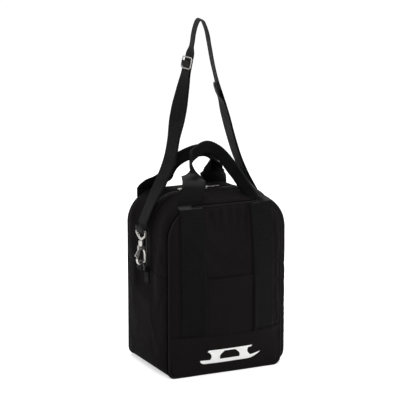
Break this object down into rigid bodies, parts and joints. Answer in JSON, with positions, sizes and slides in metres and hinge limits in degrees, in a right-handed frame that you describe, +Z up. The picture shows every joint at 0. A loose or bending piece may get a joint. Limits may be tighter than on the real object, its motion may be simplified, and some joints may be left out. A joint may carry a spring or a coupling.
{
  "type": "skate bag",
  "caption": "Upright soft bag for a pair of ice skates, with a zipped arched top, two webbing handles and an adjustable shoulder strap on snap hooks.",
  "frame": {"origin": "centre of the bag's flat bottom face", "axes": "+Z up, -Y towards the front panel, +X to the right seen from the front"},
  "size_m": [0.3222, 0.2517, 0.7402],
  "materials": {
    "bag_fabric": "matt",
    "piping": "satin",
    "webbing": "ribbed matt",
    "zip_tape": "matt",
    "ring_plastic": "moulded",
    "base_board": "moulded",
    "hardware": "nickel plated",
    "emblem": "printed transfer"
  },
  "bodies": {
    "shell": {"front_panel": "bag_fabric", "front_lower_panel": "bag_fabric", "front_pocket_panel": "bag_fabric", "back_panel": "bag_fabric", "zip_gusset_front": "bag_fabric", "zip_gusset_rear": "bag_fabric", "left_side_gusset": "bag_fabric", "right_side_gusset": "bag_fabric", "bottom_panel": "bag_fabric", "base_board": "base_board", "front_piping": "piping", "rear_piping": "piping", "zip_tape_front": "zip_tape", "zip_tape_rear": "zip_tape", "zip_coil": "zip_tape", "front_left_strip": "webbing", "front_right_strip": "webbing", "rear_left_strip": "webbing", "rear_right_strip": "webbing", "left_ring_tab": "webbing", "right_ring_tab": "webbing", "front_emblem": "emblem"},
    "front_handle": {"front_handle": "webbing"},
    "rear_handle": {"rear_handle": "webbing"},
    "left_slider": {"left_zip_slider": "hardware"},
    "right_slider": {"right_zip_slider": "hardware"},
    "left_pull": {"left_zip_pull": "hardware"},
    "right_pull": {"right_zip_pull": "hardware"},
    "left_ring": {"left_ring": "ring_plastic"},
    "right_ring": {"right_ring": "ring_plastic"},
    "strap": {"strap_main": "webbing", "strap_ply_lower": "webbing", "strap_ply_upper": "webbing", "strap_fold_back": "webbing", "left_swivel_eye": "hardware", "right_swivel_eye": "hardware"},
    "adjuster": {"strap_adjuster": "hardware", "strap_sewn_loop": "webbing"},
    "left_hook": {"left_hook_body": "hardware", "left_gate_pin": "hardware"},
    "right_hook": {"right_hook_body": "hardware", "right_gate_pin": "hardware"},
    "left_gate": {"left_hook_gate": "hardware"},
    "right_gate": {"right_hook_gate": "hardware"}
  },
  "joints": [
    {"name": "front_handle_swing", "type": "hinge", "parent": "shell", "child": "front_handle", "pos_m": [0, -0.11, 0.363], "axis": [1, 0, 0], "range_deg": [0, 180]},
    {"name": "rear_handle_swing", "type": "hinge", "parent": "shell", "child": "rear_handle", "pos_m": [0, 0.11, 0.363], "axis": [-1, 0, 0], "range_deg": [0, 180]},
    {"name": "left_zip_slide", "type": "slide", "parent": "shell", "child": "left_slider", "axis": [-1, 0, 0], "range_m": [0, 0.033]},
    {"name": "right_zip_slide", "type": "slide", "parent": "shell", "child": "right_slider", "axis": [1, 0, 0], "range_m": [0, 0.055]},
    {"name": "left_pull_flip", "type": "hinge", "parent": "left_slider", "child": "left_pull", "pos_m": [-0.0225, 0, 0.3813], "axis": [0, 1, 0], "range_deg": [0, 165]},
    {"name": "right_pull_flip", "type": "hinge", "parent": "right_slider", "child": "right_pull", "pos_m": [-0.0025, 0, 0.3813], "axis": [0, -1, 0], "range_deg": [0, 165]},
    {"name": "left_ring_tilt", "type": "hinge", "parent": "shell", "child": "left_ring", "pos_m": [-0.1465, 0, 0.219], "axis": [0, 1, 0], "range_deg": [-5, 5]},
    {"name": "right_ring_tilt", "type": "hinge", "parent": "shell", "child": "right_ring", "pos_m": [0.1465, 0, 0.219], "axis": [0, 1, 0], "range_deg": [-5, 5]},
    {"name": "strap_swing", "type": "hinge", "parent": "shell", "child": "strap", "pos_m": [0, 0, 0.219], "axis": [1, 0, 0], "range_deg": [-9, 11]},
    {"name": "adjuster_slide", "type": "slide", "parent": "strap", "child": "adjuster", "axis": [0.2109, 0, 0.9775], "range_m": [-0.095, 0], "deforming": ["strap_ply_upper"]},
    {"name": "left_hook_swivel", "type": "hinge", "parent": "strap", "child": "left_hook", "pos_m": [-0.1465, 0, 0.27], "axis": [0, 0, 1], "range_deg": [-30, 30]},
    {"name": "right_hook_swivel", "type": "hinge", "parent": "strap", "child": "right_hook", "pos_m": [0.1465, 0, 0.27], "axis": [0, 0, 1], "range_deg": [-30, 30]},
    {"name": "left_gate_open", "type": "hinge", "parent": "left_hook", "child": "left_gate", "pos_m": [-0.1499, 0, 0.262], "axis": [0, -1, 0], "range_deg": [0, 18], "stiffness_Nm_per_rad": 0.02},
    {"name": "right_gate_open", "type": "hinge", "parent": "right_hook", "child": "right_gate", "pos_m": [0.1499, 0, 0.262], "axis": [0, 1, 0], "range_deg": [0, 18], "stiffness_Nm_per_rad": 0.02}
  ]
}
